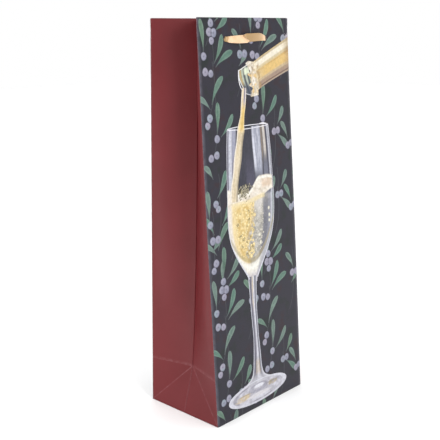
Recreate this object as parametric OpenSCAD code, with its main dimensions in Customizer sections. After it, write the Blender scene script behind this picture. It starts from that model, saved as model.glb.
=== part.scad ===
// Tall bottle gift bag of laminated art paper, standing on its folded base.
// Origin at the middle of the base, +Z up, the front panel towards -Y.

/* [Bag] */
// Width of the front and back panels
panel_w = 122; // [100:1:150]
// Depth of the base, and flat width of each side gusset
base_d = 88; // [70:1:110]
// Length of the panels from the base fold to the mouth
panel_h = 360; // [320:5:400]
// Lean of the front panel towards the mouth, in degrees
front_lean = 3.2; // [1:0.1:3.4]
// Lean of the back panel towards the mouth, in degrees
back_lean = 2.1; // [1:0.1:3.4]
// Thickness of the laminated paper
paper_t = 0.4; // [0.3:0.05:0.6]

/* [Gussets] */
// Share of the full inward fold that the springy paper takes
crease_share = 0.93; // [0.8:0.01:1]
// Height of the point where the gusset's base creases meet
apex_z = 43; // [30:1:50]

/* [Mouth] */
// Depth of the paper turned in at the mouth
turn_in_h = 35; // [25:1:45]
// Depth of the reinforcing boards under the turn-ins
board_h = 32; // [20:1:40]
// Thickness of the reinforcing boards
board_t = 1.2; // [0.8:0.1:1.6]

/* [Base] */
// How far the front and back bottom flaps reach across the base
flap_reach = 58; // [50:1:66]
// Length of the dust flaps at the two sides
dust_flap_l = 38; // [25:1:45]
// Thickness of the loose base board
base_board_t = 1.5; // [1:0.1:2.5]
// Gap between the loose base board and the walls
base_board_gap = 3; // [2.5:0.5:5]
// Width of the glued seam lap
lap_w = 15; // [10:1:20]

/* [Ribbon handles] */
// Width of the satin ribbon
ribbon_w = 7.5; // [5:0.5:8]
// Thickness of the satin ribbon
ribbon_t = 0.7; // [0.5:0.1:1]
// Distance between a handle's two holes
hole_spacing = 53; // [45:1:65]
// Drop of the holes below the mouth
hole_drop = 18; // [14:1:22]
// Diameter of the punched holes
hole_d = 5; // [4:0.5:6]
// Length of the loose ribbon that hangs inside from each hole
tail_l = 135; // [90:5:150]
// Diameter of the knots
knot_d = 9; // [8:0.5:11]

/* [Hidden] */

// Clearance at the base folds, so that a panel can turn about its fold
fold_gap = 0.3;
// Clearance between the sheets of neighbouring gusset faces
crease_gap = 0.3;
// Distance of a gusset's turned-in paper from the gusset, whose facets bulge a little
layer_gap = 0.35;
// Distance of the ribbon tails from the turned-in paper that they hang beside
tail_gap = 0.2;
// Steps along a gusset, from the base to the mouth
gusset_steps = 36;
inside_y = 2 * paper_t + board_t;
hole_z = panel_h - hole_drop;
turn_in_low = panel_h * cos(front_lean) - turn_in_h;
gusset_top = panel_h * cos(front_lean) - paper_t;
$fn = 32;

front = -1;
back = 1;

// Outer face of a panel at height z
function face_y(side, z) =
    side * (base_d / 2 - z * tan(side == front ? front_lean : back_lean));

// The gusset's middle crease: midway between the panels, pushed in so that each half keeps its width
function crease_y(z) = (face_y(front, z) + face_y(back, z)) / 2;
function half_depth(z) = (face_y(back, z) - face_y(front, z)) / 2;
function crease_in(z) =
    crease_share * sqrt(max(pow(base_d / 2, 2) - pow(half_depth(z), 2), 0));

// Outer edge of a gusset half beside its panel
function edge_point(side, z) =
    [-panel_w / 2, face_y(side, z) - side * (paper_t + fold_gap), z];

// Inner edge of a gusset half: the diagonal base crease up to the apex, then the middle crease
function inner_point(side, z) =
    let (
        high = max(z, apex_z),
        top = [-panel_w / 2 + crease_in(high), crease_y(high) + side * crease_gap, high],
        foot = edge_point(side, 0)
    )
    z < apex_z ? foot + (top - foot) * z / apex_z : top;

// Towards the inside of the bag, square to a gusset half at height z
function inward(side, z) =
    let (
        run = inner_point(side, max(z, apex_z / 4)) - edge_point(side, max(z, apex_z / 4)),
        square_on = [abs(run[1]), side * run[0], 0]
    )
    square_on / norm(square_on);

// One row across a gusset half, from share a to share b of its width, between two offsets
function row(side, z, a, b, low, high) =
    let (
        e = edge_point(side, z),
        run = inner_point(side, z) - e,
        n = inward(side, z)
    )
    [e + run * a + n * low, e + run * b + n * low, e + run * b + n * high, e + run * a + n * high];

// A bent sheet of paper carried up a gusset half from z0 to z1
module gusset_sheet(side, z0, z1, a, b, low, high, steps) {
    rows = [for (i = [0 : steps]) row(side, z0 + (z1 - z0) * i / steps, a, b, low, high)];
    points = [for (r = rows) each r];
    sides = [
        for (i = [0 : steps - 1], k = [0 : 3])
        let (p = 4 * i + k, q = 4 * i + (k + 1) % 4)
        each [[p, p + 4, q], [q, p + 4, q + 4]]
    ];
    last = 4 * steps;
    caps = [[0, 1, 2], [0, 2, 3], [last, last + 2, last + 1], [last, last + 3, last + 2]];
    faces = side == front ? concat(sides, caps) : [for (f = concat(sides, caps)) [f[0], f[2], f[1]]];
    polyhedron(points, faces);
}

// Places a panel's own pieces: x across, y from its outer face inwards, z up from the base fold
module on_panel(side) {
    if (side == front)
        translate([0, -base_d / 2, fold_gap]) rotate([-front_lean, 0, 0]) children();
    else
        translate([0, base_d / 2, fold_gap]) rotate([back_lean, 0, 0]) mirror([0, 1, 0]) children();
}

module slab(width, from_y, thick, from_z, high) {
    translate([-width / 2, from_y, from_z]) cube([width, thick, high]);
}

module ribbon_holes() {
    for (x = [-hole_spacing / 2, hole_spacing / 2])
        translate([x, -1, hole_z]) rotate([-90, 0, 0]) cylinder(d = hole_d, h = inside_y + 2);
}

module panel(side) {
    on_panel(side) difference() {
        slab(panel_w, 0, paper_t, 0, panel_h);
        ribbon_holes();
    }
}

module mouth_board(side) {
    on_panel(side) difference() {
        slab(panel_w - 5, paper_t, board_t, panel_h - paper_t - board_h, board_h);
        ribbon_holes();
    }
}

module panel_turn_in(side) {
    on_panel(side) difference() {
        union() {
            slab(panel_w - 7, paper_t + board_t, paper_t, panel_h - turn_in_h, turn_in_h);
            slab(panel_w - 7, paper_t, board_t + paper_t, panel_h - paper_t, paper_t);
        }
        ribbon_holes();
    }
}

module gusset_half(side) {
    gusset_sheet(side, 0.5, gusset_top, 0, 1, 0, paper_t, gusset_steps);
}

module gusset_turn_in(side) {
    inner = paper_t + layer_gap;
    gusset_sheet(side, turn_in_low, gusset_top, 0.14, 0.97, inner, inner + paper_t, 4);
}

// Triangle between the two diagonal creases at the foot of a gusset, a little smaller all round
module gusset_base() {
    foot_f = edge_point(front, 0) + [0, 0.8, 0];
    foot_b = edge_point(back, 0) - [0, 0.8, 0];
    apex = (inner_point(front, apex_z) + inner_point(back, apex_z)) / 2 - [0, 0, 1];
    outer = [foot_f, foot_b, apex];
    inner = [for (p = outer) p + [paper_t, 0, 0]];
    polyhedron(
        concat(outer, inner),
        [[0, 2, 1], [3, 4, 5], [0, 1, 4], [0, 4, 3], [1, 2, 5], [1, 5, 4], [2, 0, 3], [2, 3, 5]]
    );
}

module bottom_flap(side, level) {
    clear = paper_t + fold_gap;
    flap_w = panel_w - 2 * (paper_t + 0.4);
    translate([0, 0, level * paper_t]) linear_extrude(paper_t) mirror([0, side == back ? 1 : 0])
        translate([0, -base_d / 2 + clear]) polygon([
            [-flap_w / 2, 0], [flap_w / 2, 0],
            [flap_w / 2 - 6, flap_reach - clear], [-flap_w / 2 + 6, flap_reach - clear]
        ]);
}

module dust_flap() {
    start = -panel_w / 2 + 2 * paper_t + 0.4;
    half = base_d / 2 - paper_t - fold_gap;
    translate([0, 0, 2 * paper_t]) linear_extrude(paper_t)
        polygon([
            [start, -half + 1], [start + dust_flap_l, -half + 9],
            [start + dust_flap_l, half - 9], [start, half - 1]
        ]);
}

// The handle: a band across the outside, through both holes, and two tails that hang plumb inside
module ribbon(side) {
    band_l = hole_spacing + 2;
    leg_l = inside_y + tail_gap + 2 * ribbon_t;
    lean = side == front ? front_lean : back_lean;
    on_panel(side) {
        slab(band_l, -ribbon_t, ribbon_t, hole_z - ribbon_w / 2, ribbon_w);
        for (x = [-hole_spacing / 2, hole_spacing / 2]) {
            translate([x, -ribbon_t, hole_z]) rotate([-90, 0, 0]) cylinder(d = hole_d - 0.4, h = leg_l);
            translate([x - ribbon_w / 2, inside_y + tail_gap, hole_z])
                rotate([lean, 0, 0]) translate([0, 0, -tail_l]) cube([ribbon_w, ribbon_t, tail_l + 2]);
        }
    }
}

module knot(side, hand) {
    lean = side == front ? front_lean : back_lean;
    on_panel(side) translate([hand * hole_spacing / 2, inside_y + tail_gap, hole_z])
        rotate([lean, 0, 0]) translate([0, ribbon_t / 2 + 1.5, -tail_l - knot_d / 2]) sphere(d = knot_d);
}

module front_panel() { color("#47424d") panel(front); }
module back_panel() { color("#47424d") panel(back); }
module front_board() { color("#a09a90") mouth_board(front); }
module back_board() { color("#a09a90") mouth_board(back); }
module front_turn_in() { color("#4b4550") panel_turn_in(front); }
module back_turn_in() { color("#4b4550") panel_turn_in(back); }
module seam_lap() {
    color("#8c4448") on_panel(back)
        translate([panel_w / 2 - 1.5 - lap_w, paper_t, 3])
            cube([lap_w, paper_t, panel_h - turn_in_h - 5]);
}

module left_gusset_front() { color("#7a3636") gusset_half(front); }
module left_gusset_back() { color("#7a3636") gusset_half(back); }
module right_gusset_front() { color("#7a3636") mirror([1, 0, 0]) gusset_half(front); }
module right_gusset_back() { color("#7a3636") mirror([1, 0, 0]) gusset_half(back); }
module left_turn_in_front() { color("#8e3a45") gusset_turn_in(front); }
module left_turn_in_back() { color("#8e3a45") gusset_turn_in(back); }
module right_turn_in_front() { color("#8e3a45") mirror([1, 0, 0]) gusset_turn_in(front); }
module right_turn_in_back() { color("#8e3a45") mirror([1, 0, 0]) gusset_turn_in(back); }
module left_gusset_base() { color("#8c4448") gusset_base(); }
module right_gusset_base() { color("#8c4448") mirror([1, 0, 0]) gusset_base(); }

module front_bottom_flap() { color("#47424d") bottom_flap(front, 0); }
module back_bottom_flap() { color("#4b4550") bottom_flap(back, 1); }
module left_dust_flap() { color("#8c4448") dust_flap(); }
module right_dust_flap() { color("#8c4448") mirror([1, 0, 0]) dust_flap(); }
module base_board() {
    color("#b5a992") translate([0, 0, 3 * paper_t + 0.1])
        linear_extrude(base_board_t)
            square([panel_w - 2 * base_board_gap, base_d - 2 * base_board_gap], center = true);
}

module front_ribbon() { color("#d9b98a") ribbon(front); }
module back_ribbon() { color("#d9b98a") ribbon(back); }
module front_left_knot() { color("#c9a06b") knot(front, -1); }
module front_right_knot() { color("#c9a06b") knot(front, 1); }
module back_left_knot() { color("#c9a06b") knot(back, -1); }
module back_right_knot() { color("#c9a06b") knot(back, 1); }

front_panel();
back_panel();
front_board();
back_board();
front_turn_in();
back_turn_in();
seam_lap();
left_gusset_front();
left_gusset_back();
right_gusset_front();
right_gusset_back();
left_turn_in_front();
left_turn_in_back();
right_turn_in_front();
right_turn_in_back();
left_gusset_base();
right_gusset_base();
front_bottom_flap();
back_bottom_flap();
left_dust_flap();
right_dust_flap();
base_board();
front_ribbon();
back_ribbon();
front_left_knot();
front_right_knot();
back_left_knot();
back_right_knot();
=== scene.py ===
from math import pi, radians

import bpy
import numpy as np
from mathutils import Matrix, Vector


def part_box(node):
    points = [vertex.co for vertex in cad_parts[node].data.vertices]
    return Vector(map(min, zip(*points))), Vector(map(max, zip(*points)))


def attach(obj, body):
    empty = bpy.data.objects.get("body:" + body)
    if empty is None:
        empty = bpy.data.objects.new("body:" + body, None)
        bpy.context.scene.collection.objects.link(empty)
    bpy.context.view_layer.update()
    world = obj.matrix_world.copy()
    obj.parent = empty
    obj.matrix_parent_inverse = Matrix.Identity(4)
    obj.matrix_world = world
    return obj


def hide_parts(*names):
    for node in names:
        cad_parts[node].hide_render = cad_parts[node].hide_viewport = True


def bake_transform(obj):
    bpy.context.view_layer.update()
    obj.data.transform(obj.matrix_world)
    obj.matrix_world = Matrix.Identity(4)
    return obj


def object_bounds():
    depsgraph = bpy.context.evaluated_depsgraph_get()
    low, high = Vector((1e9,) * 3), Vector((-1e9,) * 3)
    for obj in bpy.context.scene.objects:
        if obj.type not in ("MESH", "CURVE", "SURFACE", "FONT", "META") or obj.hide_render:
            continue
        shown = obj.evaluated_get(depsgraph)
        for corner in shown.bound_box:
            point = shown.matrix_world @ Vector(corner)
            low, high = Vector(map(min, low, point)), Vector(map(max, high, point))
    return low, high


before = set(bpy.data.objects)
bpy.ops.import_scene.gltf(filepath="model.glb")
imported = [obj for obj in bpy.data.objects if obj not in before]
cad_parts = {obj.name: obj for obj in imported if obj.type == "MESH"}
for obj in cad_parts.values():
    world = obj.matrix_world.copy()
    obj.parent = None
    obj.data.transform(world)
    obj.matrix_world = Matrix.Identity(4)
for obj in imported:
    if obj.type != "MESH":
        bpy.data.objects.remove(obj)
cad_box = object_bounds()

# ---------------------------------------------------------------------------------------------
# Camera, floor and light.
# The bag stands on a pale sweep in even, soft studio light, seen from its front left corner from
# a little below the mouth.

lens_mm, yaw, pitch, roll = 64.5, 46.74, 13.46, -0.65
camera = bpy.data.objects.new("camera", bpy.data.cameras.new("camera"))
camera.data.lens = lens_mm
camera.data.sensor_width = 36
camera.matrix_world = (
    Matrix.Translation((-0.5307, -0.4911, 0.3483))
    @ Matrix.Rotation(radians(-yaw), 4, "Z")
    @ Matrix.Rotation(radians(90 - pitch), 4, "X")
    @ Matrix.Rotation(radians(roll), 4, "Z")
)
bpy.context.scene.collection.objects.link(camera)
bpy.context.scene.camera = camera
bpy.context.scene.view_settings.view_transform = "Standard"


def colour(hex_code):
    """Linear RGB of an sRGB hex code."""
    c = np.array([int(hex_code[i : i + 2], 16) for i in (1, 3, 5)]) / 255
    return np.where(c <= 0.04045, c / 12.92, ((c + 0.055) / 1.055) ** 2.4)


def node(tree, kind, settings=None, **links):
    """Adds a node with its settings; links name its inputs, with _ for a space, as values or sockets."""
    made = tree.nodes.new(kind)
    for key, value in (settings or {}).items():
        setattr(made, key, value)
    for key, value in links.items():
        socket = made.inputs[int(key[1:])] if key[1:].isdigit() else made.inputs[key.replace("_", " ")]
        if isinstance(value, bpy.types.NodeSocket):
            tree.links.new(value, socket)
        else:
            socket.default_value = value
    return made


def new_material(name, roughness, **uniform):
    """A Principled material with its uniform values on its own sockets: (material, tree, shader)."""
    material = bpy.data.materials.new(name)
    material.use_nodes = True
    tree = material.node_tree
    shader = tree.nodes["Principled BSDF"]
    shader.inputs["Roughness"].default_value = roughness
    for key, value in uniform.items():
        shader.inputs[key.replace("_", " ")].default_value = value
    return material, tree, shader


def rgba(hex_code):
    return (*colour(hex_code), 1)


def ramp(tree, factor, low, high):
    """A colour ramp between two stops, each a position and a hex colour."""
    piece = node(tree, "ShaderNodeValToRGB", Fac=factor)
    for stop, (position, hex_code) in zip(piece.color_ramp.elements, (low, high)):
        stop.position, stop.color = position, rgba(hex_code)
    return piece


# A white studio: bright to just above the horizon, dimmer overhead.
world = bpy.data.worlds.new("studio")
world.use_nodes = True
bpy.context.scene.world = world
tree = world.node_tree
sky = node(tree, "ShaderNodeSeparateXYZ", Vector=node(tree, "ShaderNodeTexCoord").outputs["Generated"])
dome = node(
    tree, "ShaderNodeMapRange",
    Value=sky.outputs["Z"], From_Min=0.06, From_Max=0.4, To_Min=1.0, To_Max=0.6,
)
tree.links.new(dome.outputs[0], tree.nodes["Background"].inputs["Strength"])
tree.nodes["Background"].inputs["Color"].default_value = (1, 1, 1, 1)

for name, at, size, watts in [
    ("soft_box_front", (-0.36, -1.5, 0.75), 0.5, 10),
    ("soft_box_left", (-1.4, 0.45, 0.35), 0.8, 2.4),
    ("low_card", (-0.5, 0.0, 0.03), 0.2, 0.6),
]:
    lamp = bpy.data.lights.new(name, "AREA")
    lamp.size, lamp.energy = size, watts
    soft_box = bpy.data.objects.new(name, lamp)
    soft_box.location = at
    soft_box.rotation_euler = (Vector(at) - Vector((0, 0, min(at[2], 0.15)))).to_track_quat("Z", "Y").to_euler()
    bpy.context.scene.collection.objects.link(soft_box)
ceiling = bpy.data.lights.new("ceiling_bounce", "SUN")
ceiling.energy, ceiling.angle = 1.8, radians(40)
bpy.context.scene.collection.objects.link(bpy.data.objects.new("ceiling_bounce", ceiling))

floor_mesh = bpy.data.meshes.new("floor")
floor_mesh.from_pydata([(-4, -4, 0), (4, -4, 0), (4, 4, 0), (-4, 4, 0)], [], [(0, 1, 2, 3)])
floor = bpy.data.objects.new("floor", floor_mesh)
bpy.context.scene.collection.objects.link(floor)
floor_paper, tree, shader = new_material("pale sweep paper", 0.8)
shader.inputs["Base Color"].default_value = (0.95, 0.95, 0.95, 1)
floor_mesh.materials.append(floor_paper)

# ---------------------------------------------------------------------------------------------
# Front and back walls.
# One sheet of art paper each, offset printed, with a matt film on the print. The top is folded
# over a greyboard strip and glued down inside; two holes are punched through all the layers.

MM = 0.001
front_low, front_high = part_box("front_panel")
wide = (front_high.x - front_low.x) / MM
deep = (cad_box[1][1] - cad_box[0][1]) / MM
tall = 360.0
lean = {"front": radians(3.2), "back": radians(2.1)}
side_of = {"front": -1, "back": 1}
body_of = {"front": "front_wall", "back": "back_wall"}
fold_clear = 0.3
fold_r = 1.0
fold_at = tall - fold_r
inside_turn = fold_at + pi * fold_r
turned_in = 35.0
hole_u = (wide / 2 - 26.5, wide / 2 + 26.5)
hole_q = tall - 18.0
hole_r = 2.5
paper = 0.35


def smooth(x, low, high):
    """0 below low, 1 above high, and 3t2 - 2t3 between."""
    t = np.clip((x - low) / (high - low), 0, 1)
    return t * t * (3 - 2 * t)


def wall_point(which, u, s, lift=0.0, p_extra=0.0):
    """Point on a wall's outer surface, in mm: u across from its left edge as seen from outside, s
    up the paper from the base fold. Past fold_at the paper turns over a half round of fold_r and
    runs down inside; below 0 it rounds the base fold. The sheet leans with its wall, bellies out
    a little below the stiff mouth, rolls off at its side folds, and the front mouth is twisted a
    degree or so."""
    u, s = np.broadcast_arrays(np.asarray(u, float), np.asarray(s, float))
    turn = np.clip((s - fold_at) / fold_r, 0, pi)
    beyond = np.maximum(s - inside_turn, 0)
    under = np.clip(-s / fold_clear, 0, pi / 2)
    past = np.maximum(-s - fold_clear * pi / 2, 0)
    q = np.clip(s, 0, fold_at) + (fold_r + lift) * np.sin(turn) - beyond
    p = fold_r - (fold_r + lift) * np.cos(turn) + fold_clear * (1 - np.cos(under)) + past
    across = (u - wide / 2) / (wide / 2)
    belly = np.sin(pi * np.clip(q / 326, 0, 1)) * np.clip(1 - across**2, 0, 1)
    p = p - 0.9 * belly + p_extra
    p = p + 0.45 * smooth(abs(u - wide / 2), wide / 2 - 3.2, wide / 2 + 1) * (1 - smooth(q, 350, 356))
    if which == "front":
        p = p + 1.4 * across * smooth(q, 120, 350)
    drop = fold_clear * np.sin(under)
    side, tilt = side_of[which], lean[which]
    x = -side * (u - wide / 2)
    y = side * (deep / 2 - p * np.cos(tilt) - q * np.sin(tilt))
    z = fold_clear - drop - np.where(s < 0, 0, p) * np.sin(tilt) + q * np.cos(tilt)
    return np.stack([x, y, z], -1)


def make_mesh(name, points, faces, materials, indices=None):
    """A mesh object from points in mm and faces; its place is in its mesh."""
    mesh = bpy.data.meshes.new(name)
    mesh.from_pydata((np.asarray(points).reshape(-1, 3) * MM).tolist(), [], faces)
    mesh.update()
    mesh.polygons.foreach_set("use_smooth", np.ones(len(mesh.polygons), bool))
    for material in materials:
        mesh.materials.append(material)
    if indices is not None:
        mesh.polygons.foreach_set("material_index", indices)
    made = bpy.data.objects.new(name, mesh)
    bpy.context.scene.collection.objects.link(made)
    return made


def grid_faces(rows, columns, first=0):
    """Quads of a rows by columns grid of points, numbered row by row."""
    i, j = np.meshgrid(np.arange(rows - 1), np.arange(columns - 1), indexing="ij")
    a = first + (i * columns + j).ravel()
    return np.stack([a, a + 1, a + columns + 1, a + columns], -1).tolist()


def punched_sheet(us, ss, holes, radius):
    """(u, s) points and faces of a grid with round holes. Around each hole a block of 4 by 4 cells
    gives way to rings that pass from the block's square rim to the circle."""
    uu, vv = np.meshgrid(us, ss)
    points = [np.stack([uu.ravel(), vv.ravel()], -1)]
    count, columns, faces = uu.size, len(us), []
    keep = np.ones((len(ss) - 1, len(us) - 1), bool)
    for hu, hs in holes:
        i, j = np.argmin(abs(ss - hs)), np.argmin(abs(us - hu))
        keep[i - 2 : i + 2, j - 2 : j + 2] = False
        walk = [(i - 2, j + k) for k in range(-2, 2)] + [(i + k, j + 2) for k in range(-2, 2)]
        walk += [(i + 2, j - k) for k in range(-2, 2)] + [(i - k, j - 2) for k in range(-2, 2)]
        rim = np.array([a * columns + b for a, b in walk])
        square = points[0][rim]
        outward = square - [hu, hs]
        circle = [hu, hs] + radius * outward / np.linalg.norm(outward, axis=1, keepdims=True)
        before = rim
        for share in (0.5, 0.85, 1.0):
            points.append(square + (circle - square) * share)
            ring = count + np.arange(len(rim))
            count += len(rim)
            faces += np.stack([before, np.roll(before, -1), np.roll(ring, -1), ring], -1).tolist()
            before = ring
    i, j = np.nonzero(keep)
    a = i * columns + j
    faces += np.stack([a, a + 1, a + columns + 1, a + columns], -1).tolist()
    used = np.unique(np.concatenate([np.ravel(f) for f in faces]))
    points = np.concatenate(points)
    renumber = np.zeros(len(points), int)
    renumber[used] = np.arange(len(used))
    return points[used], [[int(renumber[k]) for k in f] for f in faces]


def cloud(u, v, size, seed, octaves=3):
    """Smooth noise from 0 to 1: a seeded lattice of random values, blended between its points,
    with finer and fainter copies of itself on top."""
    total, weight = 0.0, 0.0
    for octave in range(octaves):
        lattice = np.random.RandomState(seed + octave).rand(64, 64)
        x, y = u / size * 2**octave, v / size * 2**octave
        x0, y0 = np.floor(x).astype(int), np.floor(y).astype(int)
        fx, fy = smooth(x - x0, 0, 1), smooth(y - y0, 0, 1)
        at = lambda a, b: lattice[(x0 + a) % 64, (y0 + b) % 64]
        low = at(0, 0) * (1 - fx) + at(1, 0) * fx
        high = at(0, 1) * (1 - fx) + at(1, 1) * fx
        total = total + (low * (1 - fy) + high * fy) * 0.5**octave
        weight += 0.5**octave
    return total / weight


def film_finish(tree, shader, grain_mm, depth):
    """Surface of a matt-laminated print: faint orange peel of the film over the paper's fibres."""
    place = node(tree, "ShaderNodeTexCoord").outputs["Object"]
    peel = node(tree, "ShaderNodeTexNoise", Vector=place, Scale=1000 / grain_mm, Detail=3.0)
    bump = node(tree, "ShaderNodeBump", Strength=depth, Distance=0.0001, Height=peel.outputs["Fac"])
    tree.links.new(bump.outputs["Normal"], shader.inputs["Normal"])
    return place


# Offset-printed art paper under matt film: a near-black plum-grey ground, washed with green-black
# and maroon, and lightened in a narrow band along the side folds: a painted highlight of the
# rounded fold, patchy where it is scuffed.
printed_paper, tree, shader = new_material("printed art paper, matt film", 0.46, Specular_IOR_Level=0.25)
place = film_finish(tree, shader, 0.9, 0.12)
wash = node(tree, "ShaderNodeTexNoise", Vector=place, Scale=62.0, Detail=5.0, Roughness=0.6)
ground = ramp(tree, wash.outputs["Fac"], (0.34, "#212627"), (0.68, "#2f2329"))
middle = ground.color_ramp.elements.new(0.46)
middle.color = rgba("#292730")
middle = ground.color_ramp.elements.new(0.56)
middle.color = rgba("#292832")
split = node(tree, "ShaderNodeSeparateXYZ", Vector=place)
from_middle = node(tree, "ShaderNodeMath", {"operation": "ABSOLUTE"}, _0=split.outputs["X"])
fold_highlight_band = node(
    tree, "ShaderNodeMapRange", Value=from_middle.outputs[0],
    From_Min=(wide / 2 - 3.4) * MM, From_Max=(wide / 2 - 0.3) * MM, To_Min=0.0, To_Max=0.75,
)
scuff = node(tree, "ShaderNodeTexNoise", Vector=place, Scale=150.0, Detail=4.0)
scuffed = node(
    tree, "ShaderNodeMapRange", Value=scuff.outputs["Fac"], From_Min=0.35, From_Max=0.6, To_Min=0.45, To_Max=1.0
)
# The pale band is partly a painted highlight of the rounded side fold and partly scuffing.
worn = node(
    tree, "ShaderNodeMath", {"operation": "MULTIPLY"}, _0=fold_highlight_band.outputs[0], _1=scuffed.outputs[0]
)
ground_with_fold_highlight = node(
    tree, "ShaderNodeMix", {"data_type": "RGBA"},
    _0=worn.outputs[0], _6=ground.outputs["Color"], _7=rgba("#5f5d67"),
)
tree.links.new(ground_with_fold_highlight.outputs[2], shader.inputs["Base Color"])

# The cracked outside of a fold: paper fibres show pale through the worn ink.
worn_fold, tree, shader = new_material("worn paper fold", 0.8, Specular_IOR_Level=0.25)
place = film_finish(tree, shader, 0.5, 0.4)
crack = node(tree, "ShaderNodeTexNoise", Vector=place, Scale=700.0, Detail=4.0)
tint = ramp(tree, crack.outputs["Fac"], (0.35, "#54454b"), (0.65, "#8a7a7f"))
tree.links.new(tint.outputs["Color"], shader.inputs["Base Color"])

# The unprinted side of the sheet: uncoated, slightly warm white with visible fibre flecks.
bare_paper, tree, shader = new_material("uncoated white paper", 0.85, Specular_IOR_Level=0.25)
place = film_finish(tree, shader, 0.35, 0.3)
fleck = node(tree, "ShaderNodeTexNoise", Vector=place, Scale=900.0, Detail=4.0)
tint = ramp(tree, fleck.outputs["Fac"], (0.3, "#d9d5cc"), (0.7, "#ece9e2"))
tree.links.new(tint.outputs["Color"], shader.inputs["Base Color"])


def give_thickness(piece, thickness_mm, rim=1):
    """Gives a sheet its own thickness, behind its front face."""
    wall = piece.modifiers.new("paper", "SOLIDIFY")
    wall.thickness, wall.offset = thickness_mm * MM, -1
    wall.material_offset, wall.material_offset_rim = 1, rim
    wall.use_even_offset = False


sheet_us = np.concatenate([
    [0, 0.5, 1, 1.6, 2.3, 3.2], np.linspace(5, hole_u[0] - 6, 9)[:-1], hole_u[0] + np.array([-6, -3, 0, 3.0]),
    np.linspace(hole_u[0] + 6, hole_u[1] - 6, 15)[:-1], hole_u[1] + np.array([-6, -3, 0, 3.0]),
    np.linspace(hole_u[1] + 6, wide - 5, 9), wide - np.array([3.2, 2.3, 1.6, 1, 0.5, 0]),
])
hole_s = (hole_q, inside_turn + fold_at - hole_q)
sheet_ss = np.concatenate([
    [-1.25, -0.85, -0.471, -0.32, -0.157], np.linspace(0, hole_s[0] - 6, 90)[:-1],
    hole_s[0] + np.array([-6, -3, 0, 3.0]), np.linspace(hole_s[0] + 6, fold_at, 7)[:-1],
    np.linspace(fold_at, inside_turn, 9)[:-1],
    np.linspace(inside_turn, hole_s[1] - 6, 5)[:-1], hole_s[1] + np.array([-6, -3, 0, 3.0]),
    np.linspace(hole_s[1] + 6, inside_turn + turned_in, 6),
])
punches = [(u, s) for u in hole_u for s in hole_s]


def tucked(u, s):
    """The turned-in part is cut narrower than the wall, by 4.5 %, but its holes stay in line."""
    from_hole = np.min([abs(u - c) for c in hole_u], 0)
    narrowing = 0.045 * smooth(s, fold_at + 0.3, inside_turn) * smooth(from_hole, 6.1, 17)
    return wide / 2 + (u - wide / 2) * (1 - narrowing)


flat, faces = punched_sheet(sheet_us, sheet_ss, punches, hole_r)
for which in ("front", "back"):
    around = tucked(flat[:, 0], flat[:, 1])
    wall = make_mesh(
        f"{which}_wall_sheet", wall_point(which, around, flat[:, 1]), faces,
        [printed_paper, bare_paper, worn_fold],
    )
    give_thickness(wall, paper, rim=2)
    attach(wall, body_of[which])
    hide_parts(f"{which}_panel", f"{which}_turn_in")

# ---------------------------------------------------------------------------------------------
# The printed picture, first its repeat of mistletoe sprigs.
# Painted leaves and berries, printed in the same pass as the ground. Each shape is a thin layer
# of ink on the wall's own surface, and follows it over the mouth fold to the inside.

INK = 0.03
FILM_SHINE = 0.02
INK_DEPTH = 0.70


def print_ink(name, patches, material, depth=INK_DEPTH):
    """One object per wall from patches (u, s, rgb, layer), each a grid in the sheet's own mm. Ink
    stops at the sheet's sides and at the punched holes. The film's shine lifts every colour by
    FILM_SHINE, and the studio light by half, so the inks are mixed darker by as much."""
    for which in ("front", "back"):
        points, faces, inks, first = [], [], [], 0
        for u, s, rgb, layer in patches:
            edge_u, edge_s = np.clip(u, 0.02, wide - 0.02), np.clip(s, 0.05, inside_turn + 33)
            points.append(wall_point(which, tucked(edge_u, edge_s), edge_s, layer * INK).reshape(-1, 3))
            quads = np.array(grid_faces(*u.shape))
            mid_u, mid_s = edge_u.ravel()[quads].mean(1), edge_s.ravel()[quads].mean(1)
            on_hole = np.min([np.hypot(mid_u - a, mid_s - b) for a, b in punches], 0) < hole_r + 0.5
            flattened = (np.ptp(edge_u.ravel()[quads], 1) < 0.01) | (np.ptp(edge_s.ravel()[quads], 1) < 0.01)
            faces += (quads[~on_hole & ~flattened] + first).tolist()
            inks.append(np.broadcast_to(rgb, (*u.shape, 3)).reshape(-1, 3))
            first += u.size
        made = make_mesh(f"{which}_{name}", np.concatenate(points), faces, [material])
        tint = made.data.color_attributes.new("ink", "FLOAT_COLOR", "POINT")
        mixed_ink = np.clip(depth * (np.concatenate(inks) - FILM_SHINE), 0.004, 1)
        rows = np.concatenate([mixed_ink, np.ones((first, 1))], 1)
        tint.data.foreach_set("color", rows.astype(np.float32).ravel())
        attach(made, body_of[which])


# Ink under the same matt film: the colour is painted on the shapes, and a fine wash breaks it up.
printing_ink, tree, shader = new_material("offset ink, matt film", 0.46, Specular_IOR_Level=0.25)
place = film_finish(tree, shader, 0.9, 0.12)
painted = node(tree, "ShaderNodeVertexColor", {"layer_name": "ink"})
brush = node(tree, "ShaderNodeTexNoise", Vector=place, Scale=420.0, Detail=5.0, Roughness=0.65)
breath = node(
    tree, "ShaderNodeMapRange", Value=brush.outputs["Fac"], From_Min=0.3, From_Max=0.7, To_Min=0.84, To_Max=1.14
)
washed = node(
    tree, "ShaderNodeMix", {"data_type": "RGBA", "blend_type": "MULTIPLY"},
    _0=1.0, _6=painted.outputs["Color"], _7=breath.outputs[0],
)
tree.links.new(washed.outputs[2], shader.inputs["Base Color"])


def over(under, hex_code, mask):
    """One colour laid over others by mask, an array from 0 to 1."""
    return under + (colour(hex_code) - under) * np.clip(mask, 0, 1)[..., None]


def plain(hex_code, like):
    """One flat tone over an array's whole shape."""
    return np.broadcast_to(colour(hex_code), (*like.shape, 3))


def coats(tone, layers):
    """Tone under several coats of (hex colour, mask), painted in turn."""
    for hex_code, mask in layers:
        tone = over(tone, hex_code, mask)
    return tone


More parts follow.
